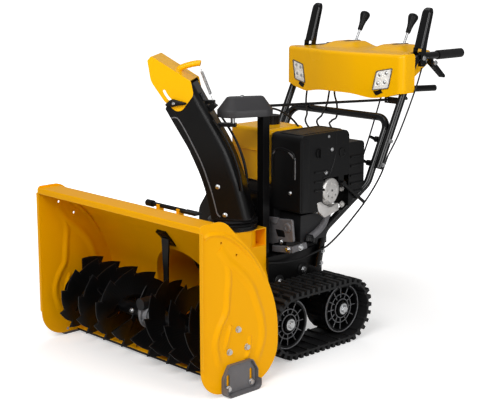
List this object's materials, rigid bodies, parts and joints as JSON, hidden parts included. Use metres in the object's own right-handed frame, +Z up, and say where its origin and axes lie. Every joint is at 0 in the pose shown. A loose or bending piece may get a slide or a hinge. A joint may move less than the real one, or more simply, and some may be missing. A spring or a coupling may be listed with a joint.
{
  "type": "two stage snowblower",
  "caption": "Walk-behind two stage snowblower on rubber tracks, with auger, impeller, turning discharge chute and operator console",
  "frame": {"origin": "bottom centre of the bounding box, on the ground under the middle of the machine", "axes": "+Z up, +X to the operator's left, +Y from the intake back to the grips"},
  "size_m": [0.92, 1.48, 1.1664],
  "materials": {
    "yellow_paint": "gloss powder coat",
    "black_paint": "satin powder coat",
    "cast": "painted casting",
    "steel": "zinc plated",
    "track_rubber": "moulded lugs",
    "black_plastic": "fine grain",
    "yellow_plastic": "smooth",
    "lamp": "clear lenses in pale bezels",
    "grip_rubber": "ribbed sleeve",
    "silencer_steel": "heat stained"
  },
  "bodies": {
    "chassis": {"housing_wrap": "yellow_paint", "side_panel_left": "yellow_paint", "side_panel_right": "yellow_paint", "scraper_blade": "black_paint", "impeller_housing": "yellow_paint", "bearing_flanges": "black_paint", "gearbox_support": "black_paint", "auger_gearbox": "cast", "chute_gear_cover": "black_plastic", "chute_post": "black_paint", "drive_frame": "black_paint", "track_left": "track_rubber", "track_right": "track_rubber", "track_frames": "black_paint", "belt_cover": "yellow_paint", "drive_belt": "track_rubber", "engine_block": "cast", "fuel_tank": "yellow_plastic", "carburetor_cover": "black_plastic", "starter_housing": "black_paint", "muffler": "silencer_steel", "oil_filler": "black_plastic", "lower_handle": "black_paint", "upper_handles": "black_paint", "handle_knobs": "black_plastic", "grips": "grip_rubber", "dashboard": "yellow_plastic", "headlights": "lamp", "control_cables": "grip_rubber", "clean_out_tool": "black_plastic", "fasteners": "steel"},
    "auger": {"auger_shaft": "black_paint", "auger_flights": "black_paint"},
    "impeller": {"impeller": "black_paint", "impeller_shaft": "steel"},
    "engine_shaft": {"engine_pulley": "steel"},
    "skid_left": {"skid_shoe_left": "black_paint"},
    "skid_right": {"skid_shoe_right": "black_paint"},
    "chute": {"chute": "black_paint", "chute_ring": "black_paint", "chute_gear": "steel", "deflector_spring": "steel"},
    "deflector": {"deflector": "yellow_paint"},
    "knob_left": {"deflector_knob_left": "black_plastic"},
    "knob_right": {"deflector_knob_right": "black_plastic"},
    "crank": {"chute_crank": "black_paint"},
    "front_wheel_left": {"front_wheel_left": "black_plastic"},
    "front_wheel_right": {"front_wheel_right": "black_plastic"},
    "rear_wheel_left": {"rear_wheel_left": "black_plastic"},
    "rear_wheel_right": {"rear_wheel_right": "black_plastic"},
    "fuel_cap": {"fuel_cap": "black_plastic"},
    "throttle_lever": {"throttle_lever": "black_paint"},
    "choke_knob": {"choke_knob": "black_plastic"},
    "starter_grip": {"starter_grip": "black_plastic"},
    "clutch_lever_left": {"clutch_lever_left": "black_paint"},
    "clutch_lever_right": {"clutch_lever_right": "black_paint"},
    "steering_trigger_left": {"steering_trigger_left": "black_plastic"},
    "steering_trigger_right": {"steering_trigger_right": "black_plastic"},
    "speed_lever": {"speed_lever": "black_plastic"},
    "deflector_lever": {"deflector_lever": "black_plastic"}
  },
  "joints": [
    {"name": "impeller_spin", "type": "hinge", "parent": "chassis", "child": "impeller", "pos_m": [0, -0.3, 0.2045], "axis": [0, 1, 0], "continuous": true},
    {"name": "auger_spin", "type": "hinge", "parent": "chassis", "child": "auger", "pos_m": [0, -0.585, 0.163], "axis": [1, 0, 0], "continuous": true},
    {"name": "engine_spin", "type": "hinge", "parent": "chassis", "child": "engine_shaft", "pos_m": [0, -0.146, 0.428], "axis": [0, 1, 0], "continuous": true},
    {"name": "skid_left_height", "type": "slide", "parent": "chassis", "child": "skid_left", "axis": [0, 0, 1], "range_m": [-0.04, 0]},
    {"name": "skid_right_height", "type": "slide", "parent": "chassis", "child": "skid_right", "axis": [0, 0, 1], "range_m": [-0.04, 0]},
    {"name": "chute_turn", "type": "hinge", "parent": "chassis", "child": "chute", "pos_m": [0.072, -0.27, 0.47], "axis": [0, 0, 1], "range_deg": [-48, 132]},
    {"name": "chute_crank_turn", "type": "hinge", "parent": "chassis", "child": "crank", "pos_m": [0.232, 0.473, 0.828], "axis": [0.1781, 0.9836, -0.0288], "range_deg": [-240, 650]},
    {"name": "deflector_tilt", "type": "hinge", "parent": "chute", "child": "deflector", "pos_m": [-0.04463, -0.36112, 0.938], "axis": [0.6157, -0.788, 0], "range_deg": [0, 38], "stiffness_Nm_per_rad": 4, "springref_deg": -28.65, "deforming": ["deflector_spring"]},
    {"name": "knob_left_turn", "type": "hinge", "parent": "chute", "child": "knob_left", "pos_m": [-0.07615, -0.38574, 0.86872], "axis": [0.6157, -0.788, 0], "continuous": true},
    {"name": "knob_right_turn", "type": "hinge", "parent": "chute", "child": "knob_right", "pos_m": [-0.07615, -0.38574, 0.86872], "axis": [0.6157, -0.788, 0], "continuous": true},
    {"name": "drive_left", "type": "hinge", "parent": "chassis", "child": "rear_wheel_left", "pos_m": [0.26, 0.038, 0.11813], "axis": [1, 0, 0], "continuous": true},
    {"name": "drive_right", "type": "hinge", "parent": "chassis", "child": "rear_wheel_right", "pos_m": [-0.26, 0.038, 0.11813], "axis": [1, 0, 0], "continuous": true},
    {"name": "front_left_turn", "type": "hinge", "parent": "chassis", "child": "front_wheel_left", "pos_m": [0.26, -0.232, 0.11813], "axis": [1, 0, 0], "continuous": true},
    {"name": "front_right_turn", "type": "hinge", "parent": "chassis", "child": "front_wheel_right", "pos_m": [-0.26, -0.232, 0.11813], "axis": [1, 0, 0], "continuous": true},
    {"name": "fuel_cap_turn", "type": "hinge", "parent": "chassis", "child": "fuel_cap", "pos_m": [-0.008, -0.008, 0.76], "axis": [0, 0, 1], "continuous": true},
    {"name": "throttle", "type": "hinge", "parent": "chassis", "child": "throttle_lever", "pos_m": [0.25, 0.092, 0.56], "axis": [1, 0, 0], "range_deg": [-20, 12]},
    {"name": "choke", "type": "hinge", "parent": "chassis", "child": "choke_knob", "pos_m": [0.25, -0.024, 0.68], "axis": [1, 0, 0], "range_deg": [0, 90]},
    {"name": "starter_pull", "type": "slide", "parent": "chassis", "child": "starter_grip", "axis": [0, 1, 0], "range_m": [0, 0.5], "stiffness_N_per_m": 40, "springref_m": -0.1},
    {"name": "clutch_left", "type": "hinge", "parent": "chassis", "child": "clutch_lever_left", "pos_m": [0.2783, 0.482, 0.983], "axis": [1, 0, 0], "range_deg": [-66, 0], "stiffness_Nm_per_rad": 2, "springref_deg": 20.05},
    {"name": "clutch_right", "type": "hinge", "parent": "chassis", "child": "clutch_lever_right", "pos_m": [-0.2783, 0.482, 0.983], "axis": [1, 0, 0], "range_deg": [-66, 0], "stiffness_Nm_per_rad": 2, "springref_deg": 20.05},
    {"name": "steer_left", "type": "hinge", "parent": "chassis", "child": "steering_trigger_left", "pos_m": [0.2783, 0.552, 0.962], "axis": [1, 0, 0], "range_deg": [0, 20], "stiffness_Nm_per_rad": 1, "springref_deg": -11.46},
    {"name": "steer_right", "type": "hinge", "parent": "chassis", "child": "steering_trigger_right", "pos_m": [-0.2783, 0.552, 0.962], "axis": [1, 0, 0], "range_deg": [0, 20], "stiffness_Nm_per_rad": 1, "springref_deg": -11.46},
    {"name": "speed_select", "type": "hinge", "parent": "chassis", "child": "speed_lever", "pos_m": [0.122, 0.55, 0.955], "axis": [1, 0, 0], "range_deg": [-6, 38]},
    {"name": "deflector_select", "type": "hinge", "parent": "chassis", "child": "deflector_lever", "pos_m": [-0.122, 0.55, 0.955], "axis": [1, 0, 0], "range_deg": [-6, 38]}
  ],
  "couplings": [
    {"joint": "auger_spin", "follows": "impeller_spin", "ratio": 0.1},
    {"joint": "engine_spin", "follows": "impeller_spin", "ratio": 2.5},
    {"joint": "chute_crank_turn", "follows": "chute_turn", "ratio": 4.8889},
    {"joint": "front_left_turn", "follows": "drive_left", "ratio": 1},
    {"joint": "front_right_turn", "follows": "drive_right", "ratio": 1}
  ]
}
